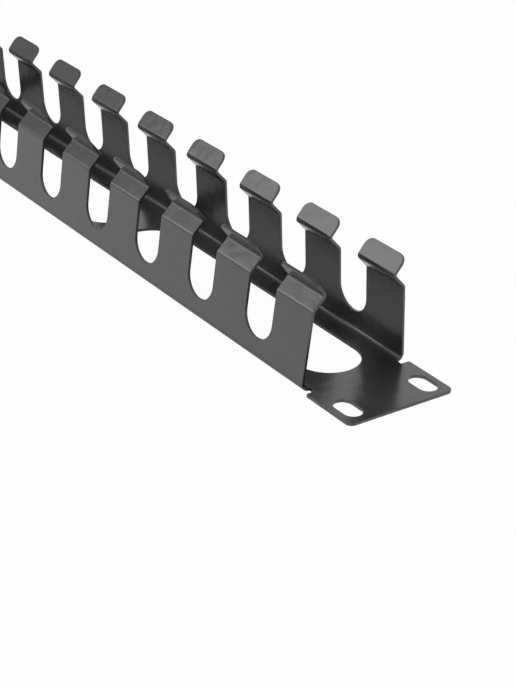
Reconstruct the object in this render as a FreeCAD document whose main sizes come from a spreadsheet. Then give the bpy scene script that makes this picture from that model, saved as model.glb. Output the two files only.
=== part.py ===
import FreeCAD, Part
import math
import os
import Sketcher

# Rack cable organizer: one folded steel sheet.
# A flat web carries two rows of fingers, and an ear at each end bolts to the rack rails.
# X runs along the rack's width, Y across the panel as mounted, Z away from the rack.
# The origin is the middle of the web's underside, the face that meets the rails.

doc = FreeCAD.newDocument("CableOrganizer")

# Driving dimensions, in millimetres and degrees
SIZES = {
    "panel_length": "482.6",
    "panel_width": "44",
    "sheet": "1.1",
    "fold_radius": "2",
    "wall_lean": "5",
    "ear_reach": "25.7",
    "finger_count": "13",
    "finger_width": "19.3",
    "slot_floor": "8.2",
    "crease_height": "28.9",
    "slant_angle": "44",
    "slant_length": "6.45",
    "lip_angle": "38",
    "lip_length": "7.2",
    "crease_radius": "1.2",
    "knee_radius": "0.8",
    "lip_corner": "3.25",
    "relief_width": "2.6",
    "relief_margin": "0.1",
    "relief_corner": "0.8",
    "ear_corner": "2.5",
    "hole_inset": "8.75",
    "hole_spacing": "31.75",
    "hole_length": "11.5",
    "hole_width": "7",
    "window_width": "24.5",
    "middle_window_length": "143.6",
    "bridge_width": "9.85",
    "end_margin": "2.9",
}

sheet = doc.addObject("Spreadsheet::Sheet", "Dimensions")
sheet.Label = "Dimensions"
for row, (alias, value) in enumerate(SIZES.items(), start=1):
    sheet.set(f"A{row}", alias)
    sheet.set(f"B{row}", value)
    sheet.setAlias(f"B{row}", alias)
doc.recompute()


def size(alias):
    return float(sheet.get(alias))


def cell(alias):
    return f"<<Dimensions>>.{alias}"


channel = doc.addObject("PartDesign::Body", "FingerChannel")
channel.Label = "finger_channel"
doc.recompute()


def origin_feature(role):
    for feature in channel.Origin.OriginFeatures:
        if feature.Role == role:
            return feature
    raise ValueError(f"no origin feature {role}")


def new_sketch(name, role):
    sketch = channel.newObject("Sketcher::SketchObject", name)
    sketch.AttachmentSupport = [(origin_feature(role), "")]
    sketch.MapMode = "FlatFace"
    doc.recompute()
    return sketch


def hold(sketch, kind, *geometry):
    """Add one geometric constraint."""
    sketch.addConstraint(Sketcher.Constraint(kind, *geometry))


def drive(sketch, kind, geometry, value, formula):
    """Add one dimension and bind it to the spreadsheet."""
    index = sketch.addConstraint(Sketcher.Constraint(kind, *geometry, value))
    sketch.setExpression(f"Constraints[{index}]", formula)


def add_outline(sketch, points):
    """Draw a closed outline of straight lines, joined end to end, and return their numbers."""
    first = sketch.GeometryCount
    ends = points[1:] + points[:1]
    for start, end in zip(points, ends):
        sketch.addGeometry(Part.LineSegment(FreeCAD.Vector(*start, 0), FreeCAD.Vector(*end, 0)))
    lines = list(range(first, first + len(points)))
    for line, after in zip(lines, lines[1:] + lines[:1]):
        hold(sketch, "Coincident", line, 2, after, 1)
    return lines


def add_obround(sketch, centre, length, width, centre_formulas, length_formula, width_formula):
    """Draw an obround that runs along X. Its centre lies on the X axis if it has one formula."""
    x, y = centre
    radius = width / 2
    reach = length / 2 - radius
    right = FreeCAD.Vector(x + reach, y, 0)
    left = FreeCAD.Vector(x - reach, y, 0)
    up = FreeCAD.Vector(0, radius, 0)
    normal = FreeCAD.Vector(0, 0, 1)
    quarter = math.pi / 2
    bottom = sketch.addGeometry(Part.LineSegment(left - up, right - up))
    right_end = sketch.addGeometry(Part.ArcOfCircle(Part.Circle(right, normal, radius), -quarter, quarter))
    top = sketch.addGeometry(Part.LineSegment(right + up, left + up))
    left_end = sketch.addGeometry(Part.ArcOfCircle(Part.Circle(left, normal, radius), quarter, 3 * quarter))
    hold(sketch, "Tangent", bottom, 2, right_end, 1)
    hold(sketch, "Tangent", right_end, 2, top, 1)
    hold(sketch, "Tangent", top, 2, left_end, 1)
    hold(sketch, "Tangent", left_end, 2, bottom, 1)
    hold(sketch, "Horizontal", bottom)
    hold(sketch, "Horizontal", top)
    half_reach = f"({length_formula} - {width_formula}) / 2"
    drive(sketch, "DistanceX", (-1, 1, right_end, 3), x + reach, f"{centre_formulas[0]} + {half_reach}")
    drive(sketch, "DistanceX", (left_end, 3, right_end, 3), 2 * reach, f"{length_formula} - {width_formula}")
    drive(sketch, "Radius", (right_end,), radius, f"{width_formula} / 2")
    if len(centre_formulas) == 1:
        hold(sketch, "PointOnObject", right_end, 3, -1)
    else:
        drive(sketch, "DistanceY", (-1, 1, right_end, 3), y, centre_formulas[1])


def add_feature(kind, name, **settings):
    """Add a feature to the body and make it the body's tip."""
    feature = channel.newObject(kind, name)
    for setting, value in settings.items():
        setattr(feature, setting, value)
    channel.Tip = feature
    doc.recompute()
    return feature


def bind(feature, formulas):
    for setting, formula in formulas.items():
        feature.setExpression(setting, formula)
    doc.recompute()


def round_edges(name, chosen, radius, formula):
    """Round every edge of the body for which chosen(edge) is true."""
    names = []
    for index, edge in enumerate(channel.Shape.Edges, start=1):
        if chosen(edge):
            names.append(f"Edge{index}")
    fillet = add_feature("PartDesign::Fillet", name, Base=(channel.Tip, names), Radius=radius)
    bind(fillet, {"Radius": formula})


# Lengths that follow from the driving dimensions, each with the formula that drives the model
BODY_LENGTH = f"({cell('panel_length')} - 2 * {cell('ear_reach')})"
FINGER_PITCH = f"(({BODY_LENGTH} - {cell('finger_width')}) / ({cell('finger_count')} - 1))"
SLOT_WIDTH = f"({FINGER_PITCH} - {cell('finger_width')})"
OUTER_WINDOW_START = f"({cell('middle_window_length')} / 2 + {cell('bridge_width')})"
OUTER_WINDOW_END = f"({BODY_LENGTH} / 2 - {cell('end_margin')})"
TOP = f"({cell('crease_height')} + {cell('slant_length')} + {cell('lip_length')})"

gap = size("sheet")
half_width = size("panel_width") / 2
body_length = size("panel_length") - 2 * size("ear_reach")
finger_pitch = (body_length - size("finger_width")) / (size("finger_count") - 1)
slot_width = finger_pitch - size("finger_width")
outer_window_start = size("middle_window_length") / 2 + size("bridge_width")
outer_window_end = body_length / 2 - size("end_margin")
top = size("crease_height") + size("slant_length") + size("lip_length")


# Folded section, drawn for one half with sharp corners: web, wall, slant and lip
def step_from(point, angle, distance):
    """Go from a point of the section along a direction that leans outwards from the upright."""
    lean = math.radians(angle)
    return (point[0] + distance * math.sin(lean), point[1] + distance * math.cos(lean))


def inner_corner(corner, before, after):
    """Find the inside face's corner, one sheet from the two outside faces that meet at corner."""
    half_turn = math.radians(after - before) / 2
    middle = (before + after) / 2
    return step_from(corner, middle - 90, gap / math.cos(half_turn))


lean = -size("wall_lean")
slant = -size("slant_angle")
lip = size("lip_angle")
fold_out = (half_width, 0)
crease_reach = size("crease_height") / math.cos(math.radians(lean))
crease_out = step_from(fold_out, lean, crease_reach)
knee_out = step_from(crease_out, slant, size("slant_length"))
tip_out = step_from(knee_out, lip, size("lip_length"))
tip_in = step_from(tip_out, lip - 90, gap)
knee_in = inner_corner(knee_out, slant, lip)
crease_in = inner_corner(crease_out, lean, slant)
fold_in = inner_corner(fold_out, 90, lean)
outside = [(0, 0), fold_out, crease_out, knee_out, tip_out]
inside = [tip_in, knee_in, crease_in, fold_in, (0, gap)]

section = new_sketch("SectionSketch", "YZ_Plane")
lines = add_outline(section, outside + inside)
web_out, wall_out, slant_out, lip_out, tip, lip_in, slant_in, wall_in, web_in, middle = lines
hold(section, "Coincident", web_out, 1, -1, 1)
hold(section, "Horizontal", web_out)
hold(section, "Horizontal", web_in)
hold(section, "Vertical", middle)
hold(section, "Parallel", wall_out, wall_in)
hold(section, "Parallel", slant_out, slant_in)
hold(section, "Parallel", lip_out, lip_in)
hold(section, "Perpendicular", lip_out, tip)
drive(section, "Distance", (web_out,), half_width, f"{cell('panel_width')} / 2")
drive(section, "DistanceY", (wall_out, 1, wall_out, 2), crease_out[1], cell("crease_height"))
drive(section, "Distance", (slant_out,), size("slant_length"), cell("slant_length"))
drive(section, "Distance", (lip_out,), size("lip_length"), cell("lip_length"))
drive(section, "Angle", (wall_out,), math.radians(90 - lean), f"(90 + {cell('wall_lean')}) * 1 deg")
drive(section, "Angle", (slant_out,), math.radians(90 - slant), f"(90 + {cell('slant_angle')}) * 1 deg")
drive(section, "Angle", (lip_out,), math.radians(90 - lip), f"(90 - {cell('lip_angle')}) * 1 deg")
drive(section, "Distance", (middle,), gap, cell("sheet"))
drive(section, "Distance", (tip,), gap, cell("sheet"))
drive(section, "Distance", (wall_in, 1, wall_out), gap, cell("sheet"))
drive(section, "Distance", (slant_in, 1, slant_out), gap, cell("sheet"))

half_channel = add_feature("PartDesign::Pad", "HalfChannel", Profile=section, SideType="Symmetric")
bind(half_channel, {"Length": BODY_LENGTH})
add_feature(
    "PartDesign::Mirrored",
    "BothWalls",
    Originals=[half_channel],
    MirrorPlane=(origin_feature("XZ_Plane"), [""]),
)


def runs_through(edge, corner):
    """True for an edge along the whole channel at one corner of the section, on either wall."""
    point = edge.Vertexes[0].Point
    whole = abs(edge.BoundBox.XLength - body_length) < 0.001
    return whole and abs(abs(point.y) - corner[0]) < 0.001 and abs(point.z - corner[1]) < 0.001


# Each fold has its own inside radius, and its outside radius is one sheet more
FOLDS = {
    "WallFold": (fold_in, fold_out, "fold_radius"),
    "CreaseFold": (crease_in, crease_out, "crease_radius"),
    "KneeFold": (knee_out, knee_in, "knee_radius"),
}
for name, (concave, convex, alias) in FOLDS.items():
    round_edges(f"{name}Inside", lambda edge: runs_through(edge, concave), size(alias), cell(alias))
    outer_radius = size(alias) + gap
    outer_formula = f"{cell(alias)} + {cell('sheet')}"
    round_edges(f"{name}Outside", lambda edge: runs_through(edge, convex), outer_radius, outer_formula)

# Ear: flat with the web, on a neck between two bend reliefs that reach past the wall's fold
fold_turn = math.radians(90 - lean)
relief_depth = (size("fold_radius") + gap) * math.tan(fold_turn / 2) + size("relief_margin")
neck_half = half_width - relief_depth
neck_start = body_length / 2 - half_width
ear_start = body_length / 2 + size("relief_width")
ear_end = size("panel_length") / 2
ear_sketch = new_sketch("EarSketch", "XY_Plane")
near_side = [
    (neck_start, -neck_half),
    (ear_start, -neck_half),
    (ear_start, -half_width),
    (ear_end, -half_width),
]
far_side = [(x, -y) for x, y in reversed(near_side)]
lines = add_outline(ear_sketch, near_side + far_side)
for line in lines[0::2]:
    hold(ear_sketch, "Horizontal", line)
near_relief, rail_end, far_relief, neck_base = lines[1::2]
hold(ear_sketch, "Vertical", near_relief)
hold(ear_sketch, "Vertical", far_relief)
hold(ear_sketch, "Vertical", near_relief, 2, far_relief, 1)
hold(ear_sketch, "Symmetric", rail_end, 1, rail_end, 2, -1)
hold(ear_sketch, "Symmetric", neck_base, 1, neck_base, 2, -1)
drive(ear_sketch, "Distance", (rail_end,), 2 * half_width, cell("panel_width"))
fold_reach = f"({cell('fold_radius')} + {cell('sheet')}) * tan((90 + {cell('wall_lean')}) * 0.5 deg)"
neck_formula = f"{cell('panel_width')} - 2 * ({fold_reach} + {cell('relief_margin')})"
drive(ear_sketch, "Distance", (neck_base,), 2 * neck_half, neck_formula)
neck_start_formula = f"{BODY_LENGTH} / 2 - {cell('panel_width')} / 2"
drive(ear_sketch, "DistanceX", (-1, 1, neck_base, 1), neck_start, neck_start_formula)
ear_start_formula = f"{BODY_LENGTH} / 2 + {cell('relief_width')}"
drive(ear_sketch, "DistanceX", (-1, 1, near_relief, 1), ear_start, ear_start_formula)
drive(ear_sketch, "DistanceX", (-1, 1, rail_end, 1), ear_end, f"{cell('panel_length')} / 2")

ear = add_feature("PartDesign::Pad", "Ear", Profile=ear_sketch)
bind(ear, {"Length": cell("sheet")})
add_feature(
    "PartDesign::Mirrored",
    "BothEars",
    Originals=[ear],
    MirrorPlane=(origin_feature("YZ_Plane"), [""]),
)


def stands_at(edge, x):
    """True for an upright edge of the ears, at their full width and at x from the middle."""
    box = edge.BoundBox
    upright = abs(box.ZLength - gap) < 0.001 and box.XLength < 0.001 and box.YLength < 0.001
    return upright and abs(abs(box.XMin) - x) < 0.001 and abs(abs(box.YMin) - half_width) < 0.001


EAR_CORNERS = {"EarCorners": (ear_end, "ear_corner"), "ReliefCorners": (ear_start, "relief_corner")}
for name, (x, alias) in EAR_CORNERS.items():
    round_edges(name, lambda edge: stands_at(edge, x), size(alias), cell(alias))

# Finger slot: parallel sides and a round floor, cut through both walls and repeated along them
slot_radius = slot_width / 2
slot_x = (size("finger_count") / 2 - 1) * finger_pitch
slot_centre = FreeCAD.Vector(slot_x, size("slot_floor") + slot_radius, 0)
slot_side = FreeCAD.Vector(slot_radius, 0, 0)
slot_rise = FreeCAD.Vector(0, top - slot_centre.y, 0)
slot_sketch = new_sketch("SlotSketch", "XZ_Plane")
round_floor = Part.Circle(slot_centre, FreeCAD.Vector(0, 0, 1), slot_radius)
floor = slot_sketch.addGeometry(Part.ArcOfCircle(round_floor, math.pi, 2 * math.pi))
right_foot = slot_centre + slot_side
left_foot = slot_centre - slot_side
right_side = slot_sketch.addGeometry(Part.LineSegment(right_foot, right_foot + slot_rise))
mouth = slot_sketch.addGeometry(Part.LineSegment(right_foot + slot_rise, left_foot + slot_rise))
left_side = slot_sketch.addGeometry(Part.LineSegment(left_foot + slot_rise, left_foot))
hold(slot_sketch, "Tangent", floor, 2, right_side, 1)
hold(slot_sketch, "Coincident", right_side, 2, mouth, 1)
hold(slot_sketch, "Coincident", mouth, 2, left_side, 1)
hold(slot_sketch, "Tangent", left_side, 2, floor, 1)
hold(slot_sketch, "Vertical", right_side)
hold(slot_sketch, "Vertical", left_side)
hold(slot_sketch, "Horizontal", mouth)
drive(slot_sketch, "Radius", (floor,), slot_radius, f"{SLOT_WIDTH} / 2")
slot_x_formula = f"({cell('finger_count')} / 2 - 1) * {FINGER_PITCH}"
drive(slot_sketch, "DistanceX", (-1, 1, floor, 3), slot_x, slot_x_formula)
slot_centre_formula = f"{cell('slot_floor')} + {SLOT_WIDTH} / 2"
drive(slot_sketch, "DistanceY", (-1, 1, floor, 3), slot_centre.y, slot_centre_formula)
drive(slot_sketch, "DistanceY", (-1, 1, mouth, 1), top, TOP)

volume_before_slots = channel.Shape.Volume
slot = add_feature(
    "PartDesign::Pocket",
    "FingerSlot",
    Profile=slot_sketch,
    SideType="Symmetric",
    Type="ThroughAll",
)
slot_volume = volume_before_slots - channel.Shape.Volume
slots = add_feature(
    "PartDesign::LinearPattern",
    "FingerSlots",
    Originals=[slot],
    Direction=(origin_feature("X_Axis"), [""]),
    Reversed=True,
    Mode="Spacing",
)
bind(slots, {"Offset": FINGER_PITCH, "Occurrences": f"{cell('finger_count')} - 1"})
all_slots_volume = volume_before_slots - channel.Shape.Volume
slot_total = round(size("finger_count")) - 1
if slot_volume <= 0 or abs(all_slots_volume - slot_total * slot_volume) > 0.001 * all_slots_volume:
    raise ValueError("the finger slots did not cut as they should")


def ends_lip(edge):
    """True for the short edge at each end of a lip's tip."""
    heights = sorted(vertex.Point.z for vertex in edge.Vertexes)
    if len(heights) != 2 or edge.BoundBox.XLength > 0.001:
        return False
    return abs(heights[0] - tip_out[1]) < 0.001 and abs(heights[1] - tip_in[1]) < 0.001


round_edges("LipCorners", ends_lip, size("lip_corner"), cell("lip_corner"))

# Windows in the web: one in the middle and one towards each end, where cables pass to the rear
middle_window = new_sketch("MiddleWindowSketch", "XY_Plane")
add_obround(
    middle_window,
    (0, 0),
    size("middle_window_length"),
    size("window_width"),
    ["0"],
    cell("middle_window_length"),
    cell("window_width"),
)
outer_window = new_sketch("OuterWindowSketch", "XY_Plane")
add_obround(
    outer_window,
    ((outer_window_start + outer_window_end) / 2, 0),
    outer_window_end - outer_window_start,
    size("window_width"),
    [f"({OUTER_WINDOW_START} + {OUTER_WINDOW_END}) / 2"],
    f"({OUTER_WINDOW_END} - {OUTER_WINDOW_START})",
    cell("window_width"),
)

# Ear slots: 465.1 mm apart along the rack, which puts them 8.75 mm in from the panel's ends
ear_hole = new_sketch("EarHoleSketch", "XY_Plane")
add_obround(
    ear_hole,
    (size("panel_length") / 2 - size("hole_inset"), size("hole_spacing") / 2),
    size("hole_length"),
    size("hole_width"),
    [f"{cell('panel_length')} / 2 - {cell('hole_inset')}", f"{cell('hole_spacing')} / 2"],
    cell("hole_length"),
    cell("hole_width"),
)


def cut_web(name, profile):
    """Cut a sketch on the web's underside up through the web, and check that it cuts."""
    before = channel.Shape.Volume
    pocket = add_feature("PartDesign::Pocket", name, Profile=profile, Reversed=True)
    bind(pocket, {"Length": cell("sheet")})
    if channel.Shape.Volume >= before:
        raise ValueError(f"{name} cuts nothing")
    return pocket


cut_web("MiddleWindow", middle_window)
outer_cut = cut_web("OuterWindow", outer_window)
add_feature(
    "PartDesign::Mirrored",
    "OuterWindows",
    Originals=[outer_cut],
    MirrorPlane=(origin_feature("YZ_Plane"), [""]),
)
hole_cut = cut_web("EarHole", ear_hole)
holes = add_feature("PartDesign::MultiTransform", "EarHoles", Originals=[hole_cut])
across = channel.newObject("PartDesign::Mirrored", "AcrossPanel")
across.MirrorPlane = (origin_feature("XZ_Plane"), [""])
along = channel.newObject("PartDesign::Mirrored", "AlongPanel")
along.MirrorPlane = (origin_feature("YZ_Plane"), [""])
holes.Transformations = [across, along]
channel.Tip = holes
doc.recompute()

# Checks, then one file for the folded sheet
for item in doc.Objects:
    if "Invalid" in item.State or "Error" in item.State:
        raise ValueError(f"{item.Name} failed: {item.State}")
if channel.Shape.isNull() or not channel.Shape.isValid() or len(channel.Shape.Solids) != 1:
    raise ValueError("the folded sheet is not one valid solid")

os.makedirs("parts", exist_ok=True)
channel.Shape.exportStep(f"parts/{channel.Label}.step")
box = channel.Shape.BoundBox
print(f"{channel.Label}: {box.XLength:.2f} x {box.YLength:.2f} x {box.ZLength:.2f} mm")
print(f"volume {channel.Shape.Volume:.1f} mm3, {len(channel.Shape.Faces)} faces")
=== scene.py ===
# %% [markdown]
# # A cable organizer for a rack, folded from one steel sheet
#
# The real object is a blank cut from thin steel, folded into a channel with two rows of fingers,
# and powder coated in a satin black. This notebook builds the sheet the way the workshop does: it
# draws the flat blank, rounds its cut edges, and folds it. It then mixes the coating, and sets up
# a pale floor, soft lamps and a camera.
#
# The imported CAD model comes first, because it holds the true sizes and the frame that everything
# rides on.

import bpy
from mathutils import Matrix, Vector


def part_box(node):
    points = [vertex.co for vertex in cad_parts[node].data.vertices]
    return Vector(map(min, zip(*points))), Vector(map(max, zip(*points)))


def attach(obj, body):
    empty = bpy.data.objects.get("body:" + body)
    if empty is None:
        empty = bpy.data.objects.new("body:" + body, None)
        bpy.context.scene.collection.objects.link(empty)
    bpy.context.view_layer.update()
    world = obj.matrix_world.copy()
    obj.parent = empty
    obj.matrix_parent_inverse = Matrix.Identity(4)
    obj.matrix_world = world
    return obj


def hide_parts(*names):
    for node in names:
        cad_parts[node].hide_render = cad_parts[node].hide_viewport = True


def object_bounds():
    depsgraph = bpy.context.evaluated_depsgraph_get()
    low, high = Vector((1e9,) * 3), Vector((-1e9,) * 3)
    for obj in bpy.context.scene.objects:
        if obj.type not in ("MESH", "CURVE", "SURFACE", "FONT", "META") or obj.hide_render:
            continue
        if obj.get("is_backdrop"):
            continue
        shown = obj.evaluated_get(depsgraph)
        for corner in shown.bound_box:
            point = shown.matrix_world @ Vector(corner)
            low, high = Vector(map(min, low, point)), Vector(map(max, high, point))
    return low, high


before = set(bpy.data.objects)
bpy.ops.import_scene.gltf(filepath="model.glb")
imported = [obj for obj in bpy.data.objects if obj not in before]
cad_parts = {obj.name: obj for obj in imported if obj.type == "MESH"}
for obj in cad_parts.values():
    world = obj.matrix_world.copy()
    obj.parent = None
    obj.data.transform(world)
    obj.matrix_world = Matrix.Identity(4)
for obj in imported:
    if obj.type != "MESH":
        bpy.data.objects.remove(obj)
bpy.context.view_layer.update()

# %% Tools
from math import cos, hypot, pi, radians, sin, tan

import bmesh
import bpy
from mathutils import Matrix, Vector

# %% [markdown]
# ## Sizes
#
# These are the CAD model's sizes, in metres and radians. The panel's length is read from the
# model, so the blank can't drift away from it. The fingers share out the length that is left
# between the two ears.

# %% The sheet's sizes
MM = 0.001
sheet_low, sheet_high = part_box("finger_channel")
panel_length = sheet_high.x - sheet_low.x
panel_width = 44 * MM
sheet = 1.1 * MM
ear_reach = 25.7 * MM
finger_count = 13
finger_width = 19.3 * MM
body_length = panel_length - 2 * ear_reach
finger_pitch = (body_length - finger_width) / (finger_count - 1)
print("the fingers stand", round(finger_pitch / MM, 2), "mm apart")

# %% [markdown]
# ## The fold line
#
# A press folds a sheet along arcs. Seen from the end, one half of the channel is a path: half the
# web, the wall's fold, the wall, the crease, the slant, the knee and the lip. Blender could bend a
# mesh with its Simple Deform modifier, one bend at a time. Here the path is a list of straight
# runs and arcs instead, because one function can then say, for any distance along the sheet, where
# the sheet is and which way it faces. The arcs run through the middle of the sheet's thickness.


# %% One run or arc of the path
class Run:
    """A straight run, or an arc that turns by an angle, from a start point and a heading."""

    def __init__(self, start, heading, length, turn=0.0):
        self.start, self.heading, self.length, self.turn = start, heading, length, turn

    def at(self, distance):
        """The point after a distance along the run, and the heading there."""
        if not self.turn:
            y = self.start[0] + distance * cos(self.heading)
            z = self.start[1] + distance * sin(self.heading)
            return (y, z), self.heading
        radius = self.length / self.turn
        heading = self.heading + distance / radius
        y = self.start[0] + radius * (sin(heading) - sin(self.heading))
        z = self.start[1] - radius * (cos(heading) - cos(self.heading))
        return (y, z), heading


# %% [markdown]
# A folded corner has a concave face and a convex face. The concave radius is what the press tool
# leaves, and the convex one is a sheet's thickness more. The lengths are measured along the
# channel's outer face. That face is convex at the fold and the crease, and concave at the knee,
# which turns the other way. Each straight run loses the length that the arcs beside it use up,
# which is the radius times the tangent of half the turn.

# %% The path of one half
wall_lean, slant_angle, lip_angle = radians(5), radians(44), radians(38)
crease_height, slant_length, lip_length = 28.9 * MM, 6.45 * MM, 7.2 * MM
fold_radius, crease_radius, knee_radius = 2 * MM, 1.2 * MM, 0.8 * MM

upright = pi / 2
headings = [0.0, upright + wall_lean, upright + slant_angle, upright - lip_angle]
turns = [after - before for before, after in zip(headings, headings[1:])]
outer_lengths = [panel_width / 2, crease_height / cos(wall_lean), slant_length, lip_length]
outer_radii = [fold_radius + sheet, crease_radius + sheet, knee_radius]
middle_radii = [radius + sheet / 2 for radius in (fold_radius, crease_radius, knee_radius)]
corners_use = [radius * tan(abs(turn) / 2) for radius, turn in zip(outer_radii, turns)]
used = [0.0] + corners_use + [0.0]

path = []
point = (0.0, sheet / 2)
marks = [0.0]
for index, heading in enumerate(headings):
    straight = Run(point, heading, outer_lengths[index] - used[index] - used[index + 1])
    path.append(straight)
    point, heading = straight.at(straight.length)
    marks.append(marks[-1] + straight.length)
    if index < len(turns):
        bend = Run(point, heading, middle_radii[index] * abs(turns[index]), turns[index])
        path.append(bend)
        point, heading = bend.at(bend.length)
        marks.append(marks[-1] + bend.length)
blank_reach = marks[-1]
print("half of the blank is", round(blank_reach / MM, 2), "mm wide")

# %% [markdown]
# The fold function takes a point of the flat blank and says where the press leaves it. The blank
# lies with its length along X, its width along Y, and its thickness along Z about zero. The half
# on the minus side is the mirror image of the other. The press works between the bend reliefs
# only, so the ears past them stay flat.


# %% Fold a point
relief_width = 2.6 * MM
press_end = body_length / 2 + relief_width / 2


def pressed(flat):
    """The middle of the sheet at a point of the blank, and its heading, once it is folded."""
    distance = min(abs(flat.y), blank_reach)
    if abs(flat.x) > press_end:
        return path[0].at(distance)
    stretches = zip(path, marks, marks[1:])
    run, low = next((run, low) for run, low, high in stretches if distance <= high)
    return run.at(distance - low)


def fold(flat):
    """Where a point of the flat blank goes."""
    (y, z), heading = pressed(flat)
    side = 1.0 if flat.y >= 0 else -1.0
    return Vector((flat.x, side * (y - flat.z * sin(heading)), z + flat.z * cos(heading)))


def fold_turn(flat):
    """The rotation that the press gives to the sheet there."""
    _, heading = pressed(flat)
    return Matrix.Rotation(heading if flat.y >= 0 else -heading, 3, "X")


# %% [markdown]
# ## The blank's outline
#
# The outline is one closed loop, drawn anticlockwise, and each window and screw slot is a loop of
# its own, drawn clockwise. Blender's curves could draw them too, but plain points can be moved
# inwards later, to round the cut edges. A helper draws each arc in steps of about six degrees.

# %% Arcs
ARC_STEP = radians(6)


def arc(centre, radius, start, turn, stretch=1.0):
    """Points along an arc. The stretch makes it an ellipse along the blank's width."""
    count = max(2, round(abs(turn) / ARC_STEP))
    angles = [start + turn * step / count for step in range(count + 1)]
    return [(centre[0] + radius * cos(a), centre[1] + radius * stretch * sin(a)) for a in angles]


def obround(centre, length, width):
    """A slot with round ends along X, drawn clockwise."""
    radius = width / 2
    half = length / 2 - radius
    right = arc((centre[0] + half, centre[1]), radius, pi / 2, -pi)
    left = arc((centre[0] - half, centre[1]), radius, -pi / 2, -pi)
    return right + left


# %% [markdown]
# Each finger slot has parallel sides and a round floor. The wall leans, so a floor that is round
# from outside is a little longer in the flat blank. The lip's corners are rounded off. The wall is
# the path's third part, after the web and the fold's arc, so its number in the list is 2.

# %% One row of fingers
slot_floor = 8.2 * MM
lip_corner = 3.25 * MM
slot_radius = (finger_pitch - finger_width) / 2
wall_run = 2
wall_foot = marks[wall_run]
foot_height = path[wall_run].start[1]
floor_centre = wall_foot + (slot_floor + slot_radius - foot_height) / cos(wall_lean)


def finger_row():
    """The far edge of the blank, from the right end to the left: finger, slot, finger, ..."""
    points = []
    for index in range(finger_count):
        right = body_length / 2 - index * finger_pitch
        left = right - finger_width
        lip_centre = blank_reach - lip_corner
        points += arc((right - lip_corner, lip_centre), lip_corner, 0, pi / 2)
        points += arc((left + lip_corner, lip_centre), lip_corner, pi / 2, pi / 2)
        if index < finger_count - 1:
            slot_centre = (left - slot_radius, floor_centre)
            points += arc(slot_centre, slot_radius, 0, -pi, 1 / cos(wall_lean))
    return points


# %% [markdown]
# At each end the web runs on into an ear. A bend relief on each side keeps the fold from tearing
# the ear, and the ear's corners are rounded.

# %% One ear
relief_margin = 0.1 * MM
relief_corner = 0.8 * MM
ear_corner = 2.5 * MM
neck_half = panel_width / 2 - corners_use[0] - relief_margin


def ear_outline():
    """The right ear, from the near wall's end round to the far wall's end."""
    body_end = body_length / 2
    ear_start = body_end + relief_width
    ear_end = panel_length / 2
    edge = panel_width / 2
    near_relief = (ear_start + relief_corner, -edge + relief_corner)
    far_relief = (ear_start + relief_corner, edge - relief_corner)
    points = [(body_end, -neck_half), (ear_start, -neck_half)]
    points += arc(near_relief, relief_corner, pi, pi / 2)
    points += arc((ear_end - ear_corner, -edge + ear_corner), ear_corner, -pi / 2, pi / 2)
    points += arc((ear_end - ear_corner, edge - ear_corner), ear_corner, 0, pi / 2)
    points += arc(far_relief, relief_corner, pi / 2, pi / 2)
    points += [(ear_start, neck_half), (body_end, neck_half)]
    return points


# %% [markdown]
# The blank looks the same after half a turn. So one ear and one row of fingers make half of the
# outline, and the same points, turned, make the rest.

# %% The whole outline
half_outline = ear_outline() + finger_row()
outline = half_outline + [(-x, -y) for x, y in half_outline]
print("the blank's outline has", len(outline), "points")

# %% [markdown]
# The web has three windows, with a bridge between each two. The ears have four slots for the
# rack's screws.

# %% Windows and screw slots
window_width = 24.5 * MM
middle_window = 143.6 * MM
bridge = 9.85 * MM
end_margin = 2.9 * MM
hole_length, hole_width = 11.5 * MM, 7 * MM
hole_inset, hole_rows = 8.75 * MM, 31.75 * MM

window_start = middle_window / 2 + bridge
window_end = body_length / 2 - end_margin
window_middle = (window_start + window_end) / 2
hole_x, hole_y = panel_length / 2 - hole_inset, hole_rows / 2
holes = [obround((0, 0), middle_window, window_width)]
for x in (-window_middle, window_middle):
    holes.append(obround((x, 0), window_end - window_start, window_width))
for x in (-hole_x, hole_x):
    holes += [obround((x, y), hole_length, hole_width) for y in (-hole_y, hole_y)]
print("the blank has", len(holes), "openings")

# %% [markdown]
# ## Rounded cut edges
#
# A punched edge is never sharp, and powder coating rounds it more. That round edge is what catches
# the light. A Bevel modifier would do it after the sheet has its thickness. Here the edge is built
# ring by ring: each ring is the outline, moved inwards by a little, at its own height. The rings
# go from the flat underside, round the lower edge, up the cut, round the upper edge and onto the
# flat top. A sharp corner moves further than its sides do, so that they stay parallel, and the
# least cosine holds that to twice as far.

# %% Move a loop inwards
HAIR = 1e-4 * MM
least_cosine = 0.5


def shifted(loop, places):
    """The same closed loop, started that many places further on."""
    return loop[places:] + loop[:places]


def inset(loop, distance):
    """Each point of a loop, moved into the metal by a distance along its corner's bisector."""
    moved = []
    for before, here, after in zip(shifted(loop, -1), loop, shifted(loop, 1)):
        along_in = Vector((here[0] - before[0], here[1] - before[1])).normalized()
        along_out = Vector((after[0] - here[0], after[1] - here[1])).normalized()
        normal_in = Vector((-along_in.y, along_in.x))
        normal_out = Vector((-along_out.y, along_out.x))
        bisector = (normal_in + normal_out).normalized()
        shift = bisector * (distance / max(least_cosine, bisector.dot(normal_in)))
        moved.append((here[0] + shift.x, here[1] + shift.y))
    return moved


def without_doubles(loop):
    """The loop without the points that lie on top of the one before them."""
    pairs = zip(shifted(loop, -1), loop)
    return [here for last, here in pairs if hypot(here[0] - last[0], here[1] - last[1]) > HAIR]


# %% The rings of a cut edge
edge_radius = 0.14 * MM
edge_steps = 4
rings = []
for step in range(edge_steps + 1):
    angle = pi / 2 * step / edge_steps
    height = -sheet / 2 + edge_radius * (1 - cos(angle))
    rings.append((edge_radius * (1 - sin(angle)), height))
rings += [(inward, -height) for inward, height in reversed(rings)]
print("a cut edge has", len(rings), "rings")

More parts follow.
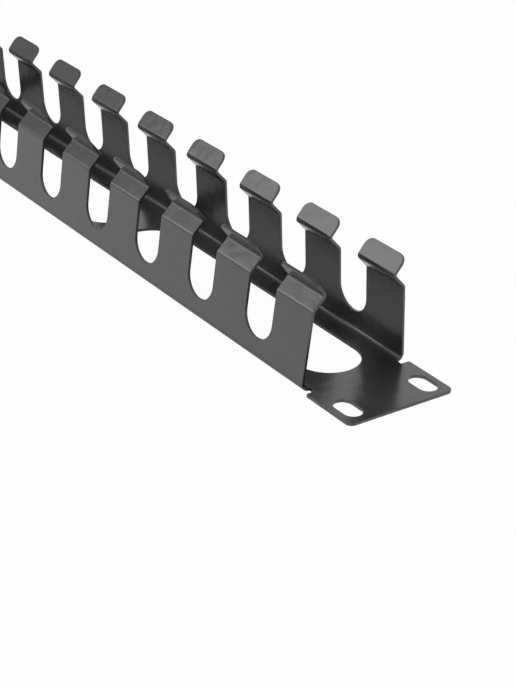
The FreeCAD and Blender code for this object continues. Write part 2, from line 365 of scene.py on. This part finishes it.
# %% [markdown]
# The flat faces are filled in from the innermost rings. The fill makes long thin triangles, which
# is no fault on a flat face. Then straight cuts are made across the blank wherever the press will
# bend it, about every six degrees of each arc, so that the mesh has something to bend.

# %% Build the flat blank
blank = bmesh.new()
underside, top = 0, len(rings) - 1
cap_edges = {underside: [], top: []}
for loop in [outline] + holes:
    loop = without_doubles(loop)
    levels = []
    for inward, height in rings:
        levels.append([blank.verts.new((x, y, height)) for x, y in inset(loop, inward)])
    for lower, upper in zip(levels, levels[1:]):
        for corners in zip(lower, shifted(lower, 1), shifted(upper, 1), upper):
            blank.faces.new(corners)
    for level, edges in cap_edges.items():
        ring = levels[level]
        edges += [blank.edges.get(pair) for pair in zip(ring, shifted(ring, 1))]
for level, direction in ((underside, (0, 0, -1)), (top, (0, 0, 1))):
    edges = cap_edges[level]
    bmesh.ops.triangle_fill(blank, use_beauty=True, edges=edges, normal=direction)
bmesh.ops.recalc_face_normals(blank, faces=blank.faces)
print("the flat blank has", len(blank.faces), "faces")

# %% Cut it across where it bends
cut_tolerance = 1e-5 * MM
cuts = []
for run, low in zip(path, marks):
    if run.turn:
        count = max(1, round(abs(run.turn) / ARC_STEP))
        cuts += [low + run.length * step / count for step in range(count + 1)]
for place in [side * cut for side in (-1, 1) for cut in cuts]:
    blank_parts = blank.verts[:] + blank.edges[:] + blank.faces[:]
    plane = {"plane_co": (0, place, 0), "plane_no": (0, 1, 0)}
    bmesh.ops.bisect_plane(blank, geom=blank_parts, dist=cut_tolerance, **plane)
print("after", 2 * len(cuts), "cuts it has", len(blank.faces), "faces")

# %% [markdown]
# ## Fold the blank
#
# Smooth shading needs to know which way the surface faces at each corner of each face. That is
# easy to say while the sheet is flat, and the press turns it with the sheet. So the directions are
# read from the flat blank, turned by the fold, and stored in the folded mesh as its own normals.
# Where a flat face meets its rounded edge, Blender's average leans a little towards the edge, and
# that bends the reflections all over the long triangles. There the direction is set straight up or
# straight down instead.

# %% The folded sheet
sharp_angle = radians(40)
mesh = bpy.data.meshes.new("folded_sheet")
blank.to_mesh(mesh)
blank.free()
mesh.shade_smooth()
mesh.set_sharp_from_angle(angle=sharp_angle)
flat_normals = [Vector(corner.vector) for corner in mesh.corner_normals]
folded_normals = []
for loop, normal in zip(mesh.loops, flat_normals):
    flat = mesh.vertices[loop.vertex_index].co
    if abs(flat.z) > sheet / 2 - HAIR:
        normal = Vector((0, 0, 1 if flat.z > 0 else -1))
    folded_normals.append(fold_turn(flat) @ normal)
for vertex in mesh.vertices:
    vertex.co = fold(vertex.co)
mesh.normals_split_custom_set(folded_normals)
mesh.validate()

folded_sheet = bpy.data.objects.new("folded_sheet", mesh)
bpy.context.collection.objects.link(folded_sheet)
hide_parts("finger_channel")
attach(folded_sheet, "root")
print("the folded sheet has", len(mesh.polygons), "faces")

# %% [markdown]
# ## Shader maths
#
# A material's nodes are easier to read as a sum or a product. This small class wraps a node's
# output socket. Adding, taking away or multiplying two of them, or one and a number, makes the
# Math node that does it.


# %% A socket that can be added and multiplied
class Value:
    """An output socket that takes part in Python's arithmetic."""

    def __init__(self, finish, socket):
        self.finish, self.socket = finish, socket

    def math(self, operation, *others, **settings):
        settings["operation"] = operation
        return self.finish.node("ShaderNodeMath", settings, [self, *others])

    def __add__(self, other):
        return self.math("ADD", other)

    def __sub__(self, other):
        return self.math("SUBTRACT", other)

    def __mul__(self, other):
        return self.math("MULTIPLY", other)

    def __rsub__(self, other):
        return self * -1.0 + other

    __radd__ = __add__
    __rmul__ = __mul__

    def clamp(self):
        """The same value, held between 0 and 1."""
        return self.math("ADD", 0.0, use_clamp=True)


# %% [markdown]
# Nodes belong to a tree, and a material, or the world around the scene, owns the tree. One class
# serves both. Its method `node` adds any node in one line, with its settings first, because some
# settings change which sockets the node has.


# %% A finish that makes its own nodes
class Finish:
    """A material or a world, with one method that adds any node."""

    def __init__(self, owner):
        owner.use_nodes = True
        self.owner, self.tree = owner, owner.node_tree
        self.tree.nodes.clear()

    def node(self, kind, settings=None, inputs=(), output=0):
        """Add a node, set it up, fill or link its inputs, and give back one output."""
        node = self.tree.nodes.new(kind)
        for name, value in (settings or {}).items():
            setattr(node, name, value)
        pairs = inputs.items() if isinstance(inputs, dict) else enumerate(inputs)
        for key, value in pairs:
            if isinstance(value, Value):
                self.tree.links.new(value.socket, node.inputs[key])
            else:
                node.inputs[key].default_value = value
        return Value(self, node.outputs[output]) if node.outputs else node

    def noise(self, place, scale, detail):
        """Cloudy noise from 0 to 1, with that many clouds to the metre."""
        inputs = {"Vector": place, "Scale": scale, "Detail": detail}
        return self.node("ShaderNodeTexNoise", {"noise_dimensions": "3D"}, inputs)

    def blend(self, share, low, high):
        """A colour between two, by a share from 0 to 1."""
        settings = {"data_type": "RGBA", "clamp_factor": True}
        factor, first_colour, second_colour, mixed_colour = 0, 6, 7, 2
        inputs = {factor: share, first_colour: low, second_colour: high}
        return self.node("ShaderNodeMix", settings, inputs, output=mixed_colour)

    def rays(self, kind):
        """1 where a ray of that kind meets the surface, and 0 for any other ray."""
        return self.node("ShaderNodeLightPath", output=f"Is {kind} Ray")


# %% [markdown]
# ## Satin black powder coat
#
# Powder coat is a plastic skin that is sprayed on as dust and melted in an oven. It never flows
# quite flat, so it keeps ripples a few millimetres across, called orange peel, and finer pebbles
# and grains on top. Its sheen changes a little from place to place. The colour is nearly black, a
# trace towards blue. The Principled shader's own reflection gives the grey sheen, so the finish
# needs only a dark base, a low roughness and a very low bump from three sizes of noise. The resin
# reflects a little more than plain plastic, hence the index of refraction.

# %% Mix the coating
darker_black, lighter_black = (0.0105, 0.0108, 0.0118, 1), (0.013, 0.0134, 0.0144, 1)
resin_index = 1.8
cool_sheen = (0.975, 0.98, 1, 1)
least_roughness, roughness_change = 0.19, 0.03
ripple_height, pebble_height, grain_height = 3.0, 0.5, 0.3
bump_strength, bump_depth = 0.06, 0.4 * MM

coat = Finish(bpy.data.materials.new("satin_black_powder_coat"))
coat_place = coat.node("ShaderNodeTexCoord", output="Object")
ripples = coat.noise(coat_place, 260.0, detail=0.0)
pebbles = coat.noise(coat_place, 1500.0, detail=2.0)
grains = coat.noise(coat_place, 4200.0, detail=1.0)
drifts = coat.noise(coat_place, 55.0, detail=3.0)
texture_height = ripples * ripple_height + pebbles * pebble_height + grains * grain_height
colour = coat.blend(drifts, darker_black, lighter_black)
sheen_spread = least_roughness + drifts * roughness_change + pebbles * roughness_change
bump_inputs = {"Strength": bump_strength, "Distance": bump_depth, "Height": texture_height}
bump = coat.node("ShaderNodeBump", {}, bump_inputs)
shader_inputs = {"Base Color": colour, "Roughness": sheen_spread, "Normal": bump}
shader_inputs |= {"IOR": resin_index, "Specular Tint": cool_sheen}
shader = coat.node("ShaderNodeBsdfPrincipled", {}, shader_inputs)
coat.node("ShaderNodeOutputMaterial", {}, {"Surface": shader})

mesh.materials.append(coat.owner)
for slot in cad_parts["finger_channel"].material_slots:
    slot.material = coat.owner
print("the coating takes", len(coat.tree.nodes), "nodes")

# %% [markdown]
# ## Floor and surroundings
#
# The object lies on a plain white floor in a white room. The floor's material mixes white paint
# with a white glow. The camera sees nearly all glow, so the picture's background is white, and a
# trace of the object's soft shadow stays. Reflections see the glow too, but only a little of it
# under the channel: that is a painted shadow, where a real floor is dark. Lamps and bounced light
# meet nothing but the paint, so the glow doesn't light the object.

# %% The floor
white = (1, 1, 1, 1)
off_white = (0.85, 0.85, 0.85, 1)
half_floor = 6.0
floor_drop = 0.2 * MM
shadow_edge = 5 * MM
# painted shadow: under the channel, reflections see only the covered share of the glow
seen_glow, painted_shadow_glow, open_glow = 0.97, 0.13, 0.94

floor_mesh = bpy.data.meshes.new("floor")
floor_corners = [(-half_floor, -half_floor, 0), (half_floor, -half_floor, 0)]
floor_corners += [(half_floor, half_floor, 0), (-half_floor, half_floor, 0)]
floor_mesh.from_pydata(floor_corners, [], [(0, 1, 2, 3)])
floor = bpy.data.objects.new("floor", floor_mesh)
floor.location.z = -floor_drop
bpy.context.collection.objects.link(floor)
floor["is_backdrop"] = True

paint = Finish(bpy.data.materials.new("white_floor"))
floor_place = paint.node("ShaderNodeTexCoord", output="Object")
along = paint.node("ShaderNodeSeparateXYZ", {}, [floor_place], output="X").math("ABSOLUTE")
across = paint.node("ShaderNodeSeparateXYZ", {}, [floor_place], output="Y").math("ABSOLUTE")
# painted shadow: the mask is 0 in the channel's footprint and fades to 1 over the shadow edge
beyond = (along - body_length / 2).math("MAXIMUM", across - panel_width / 2)
outside_painted_shadow = (beyond * (1 / shadow_edge)).clamp()
reflected_glow_with_painted_shadow = outside_painted_shadow * (open_glow - painted_shadow_glow) + painted_shadow_glow
reflected_rays = paint.rays("Glossy") + paint.rays("Transmission")
glow_share = paint.rays("Camera") * seen_glow + reflected_rays * reflected_glow_with_painted_shadow
glow = paint.node("ShaderNodeEmission", {}, {"Color": white, "Strength": 1.0})
matt = paint.node("ShaderNodeBsdfDiffuse", {}, {"Color": off_white})
floor_surface = paint.node("ShaderNodeMixShader", {}, [glow_share, matt, glow])
paint.node("ShaderNodeOutputMaterial", {}, {"Surface": floor_surface})
floor_mesh.materials.append(paint.owner)
print("the floor is", 2 * half_floor, "m square")

# %% [markdown]
# The room lights the object from all sides at a little over half of white. The camera sees it as
# plain white, and the reflections see it a little lighter than it is.

# %% The room
wall_light = 0.57
glossy_share = 0.15
room = Finish(bpy.data.worlds.new("white_room"))
bpy.context.scene.world = room.owner
white_share = room.rays("Camera") + room.rays("Transmission") + room.rays("Glossy") * glossy_share
walls = room.node("ShaderNodeBackground", {}, {"Color": white, "Strength": wall_light})
backdrop = room.node("ShaderNodeBackground", {}, {"Color": white, "Strength": 1.0})
surroundings = room.node("ShaderNodeMixShader", {}, [white_share, walls, backdrop])
room.node("ShaderNodeOutputWorld", {}, {"Surface": surroundings})
print("the room's light is", wall_light, "of white")

# %% [markdown]
# ## Lamps
#
# Area lamps stand in for the photographer's soft boxes. A wide one stands in front of the near row
# of fingers and gives the lips and the slants their lighter grey. Its left end is where the row of
# far lips turns darker. Its lower part is weaker, so that is a lamp of its own, and the creases
# show the darker room below it as a thin line. A faint lamp behind, on the left, is what the ear
# reflects past the far wall's end.


# %% Place the lamps
def soft_box(name, place, target, width, height, radiance):
    """A rectangular area lamp, aimed at a target, and as bright as a white of that radiance."""
    lamp = bpy.data.lights.new(name, "AREA")
    lamp.shape = "RECTANGLE"
    lamp.size, lamp.size_y = width, height
    lamp.energy = radiance * pi * width * height
    holder = bpy.data.objects.new(name, lamp)
    holder.location = place
    holder.rotation_mode = "QUATERNION"
    holder.rotation_quaternion = (Vector(target) - Vector(place)).to_track_quat("-Z", "Y")
    bpy.context.collection.objects.link(holder)
    print(name, "gives", round(lamp.energy, 2), "W")


front_x, front_y, front_width = -0.119, -0.797, 1.5
aim_x, aim_y = 0.1, 0.02
front_boxes = {"key_box": (0.55, 0.44, 2.05), "low_box": (0.255, 0.15, 1.0)}
for name, (box_z, height, radiance) in front_boxes.items():
    box_place, box_target = (front_x, front_y, box_z), (aim_x, aim_y, box_z)
    soft_box(name, box_place, box_target, front_width, height, radiance)
back_place, back_target = (-0.75, 0.95, 0.55), (0.1, 0, 0.05)
soft_box("back_box", back_place, back_target, width=1.3, height=0.9, radiance=0.36)

# %% [markdown]
# ## Camera
#
# The place, the aim and the focal length were worked out from the photograph's edges and the
# rack's standard sizes. It is a long lens, about 0.6 m from the nearest ear. The aim is an axis
# whose length is the angle to turn by. The turned rows are the picture's right, its down and the
# way that the camera looks. Blender's camera has up and backwards instead of the last two, so
# those change sign.

# %% Aim the camera
film_height = 36.0
picture_height = 688
focal_pixels = 1783.64
eye = Vector((0.610026, -0.341916, 0.284565))
turn_vector = Vector((1.855293011, 0.980651469, -0.530655187))
look = Matrix.Rotation(turn_vector.length, 3, turn_vector.normalized())
rotation = Matrix([look.row[0], -look.row[1], -look.row[2]]).transposed()

camera_data = bpy.data.cameras.new("camera")
camera = bpy.data.objects.new("camera", camera_data)
bpy.context.collection.objects.link(camera)
bpy.context.scene.camera = camera
camera.matrix_world = Matrix.Translation(eye) @ rotation.to_4x4()
camera_data.sensor_width = film_height
camera_data.lens = film_height * focal_pixels / picture_height
camera_data.clip_start, camera_data.clip_end = 0.01, 50
print("the lens is", round(camera_data.lens, 1), "mm")

# %% [markdown]
# ## Finish
#
# The Standard view keeps colours as they are written. The dressed model's box is printed.

# %% Write the sizes
bpy.context.scene.view_settings.view_transform = "Standard"
low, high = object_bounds()
print("the dressed model's box runs from", tuple(low), "to", tuple(high))
